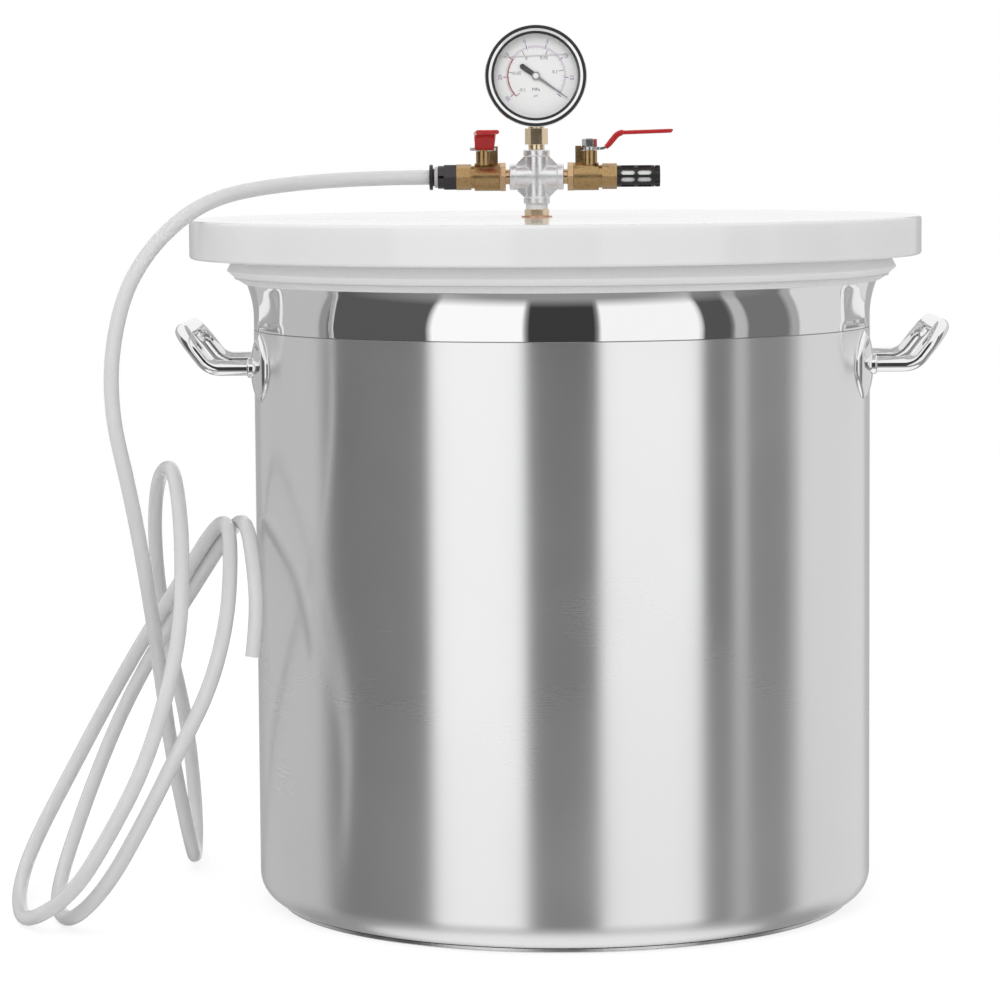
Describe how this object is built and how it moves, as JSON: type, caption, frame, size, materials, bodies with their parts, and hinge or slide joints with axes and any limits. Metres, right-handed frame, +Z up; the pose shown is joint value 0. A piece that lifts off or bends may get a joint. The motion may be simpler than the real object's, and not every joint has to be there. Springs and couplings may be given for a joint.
{
  "type": "vacuum degassing chamber",
  "caption": "Stainless pot with silicone rim seal, thick acrylic lid, cross fitting, filled vacuum gauge, lever ball valves, silencer and hose, for degassing resin.",
  "frame": {"origin": "on the pot's axis at the floor", "axes": "+Z up, gauge and closed lever face -Y, pot handles on +X and -X, hose on -X"},
  "size_m": [0.6106, 0.474, 0.5708],
  "materials": {
    "pot_steel": "polished band above a fine brushed body",
    "base_steel": "satin",
    "gasket_silicone": "matt white silicone",
    "lid_acrylic": "milky white, polished",
    "washer_copper": "satin",
    "brass": "machined",
    "valve_brass": "cast and machined",
    "ptfe": "matt",
    "cast_aluminium": "sand cast",
    "black_nickel": "black nickel",
    "seal_rubber": "matt",
    "spring_steel": "bright",
    "collar_grey": "satin",
    "release_black": "satin",
    "hose_pu": "translucent polyurethane",
    "silencer_black": "satin",
    "silencer_white": "porous",
    "gauge_steel": "polished stainless",
    "gauge_window": "clear",
    "dial_white": "white enamel",
    "plug_rubber": "matt",
    "pointer_black": "matt",
    "handle_steel": "polished stainless",
    "ball_chrome": "polished",
    "lever_steel": "zinc plated",
    "grip_red": "dipped vinyl",
    "nut_steel": "zinc plated"
  },
  "bodies": {
    "chamber": {"stock_pot": "pot_steel", "base_disc": "base_steel", "rim_gasket": "gasket_silicone", "lid": "lid_acrylic", "nipple_washer": "washer_copper", "lid_nipple": "brass", "nipple_tape": "ptfe", "cross_fitting": "cast_aluminium", "left_push_fitting": "black_nickel", "left_tube_seal": "seal_rubber", "left_grab_ring": "spring_steel", "left_fitting_collar": "collar_grey", "hose": "hose_pu", "silencer_cage": "silencer_black", "silencer_element": "silencer_white", "gauge_case": "gauge_steel", "gauge_bezel": "gauge_steel", "gauge_window": "gauge_window", "gauge_dial": "dial_white", "gauge_stem": "brass", "gauge_fill_plug": "plug_rubber", "movement_frame": "brass", "movement_plate": "brass", "bourdon_tube": "brass", "right_handle": "handle_steel", "left_handle": "handle_steel", "right_front_handle_plate": "handle_steel", "left_front_handle_plate": "handle_steel", "right_back_handle_plate": "handle_steel", "left_back_handle_plate": "handle_steel", "right_valve_body": "valve_brass", "right_valve_end": "valve_brass", "right_inner_ball_seat": "ptfe", "right_outer_ball_seat": "ptfe", "right_stem_packing": "ptfe", "left_valve_body": "valve_brass", "left_valve_end": "valve_brass", "left_inner_ball_seat": "ptfe", "left_outer_ball_seat": "ptfe", "left_stem_packing": "ptfe"},
    "left_lever_set": {"left_valve_ball": "ball_chrome", "left_valve_stem": "brass", "left_valve_lever": "lever_steel", "left_lever_grip": "grip_red", "left_lever_nut": "nut_steel"},
    "right_lever_set": {"right_valve_ball": "ball_chrome", "right_valve_stem": "brass", "right_valve_lever": "lever_steel", "right_lever_grip": "grip_red", "right_lever_nut": "nut_steel"},
    "release_ring": {"left_release_ring": "release_black"},
    "pointer": {"gauge_pointer": "pointer_black"}
  },
  "joints": [
    {"name": "left_lever_turn", "type": "hinge", "parent": "chamber", "child": "left_lever_set", "pos_m": [-0.0498, 0, 0.472], "axis": [0, 0, -1], "range_deg": [0, 94]},
    {"name": "right_lever_turn", "type": "hinge", "parent": "chamber", "child": "right_lever_set", "pos_m": [0.0188, 0, 0.472], "axis": [0, 0, -1], "range_deg": [0, 94]},
    {"name": "release_ring_push", "type": "slide", "parent": "chamber", "child": "release_ring", "axis": [1, 0, 0], "range_m": [0, 0.001]},
    {"name": "pointer_turn", "type": "hinge", "parent": "chamber", "child": "pointer", "pos_m": [-0.0155, 0, 0.5368], "axis": [0, -1, 0], "range_deg": [0, 259], "stiffness_Nm_per_rad": 0.001}
  ]
}
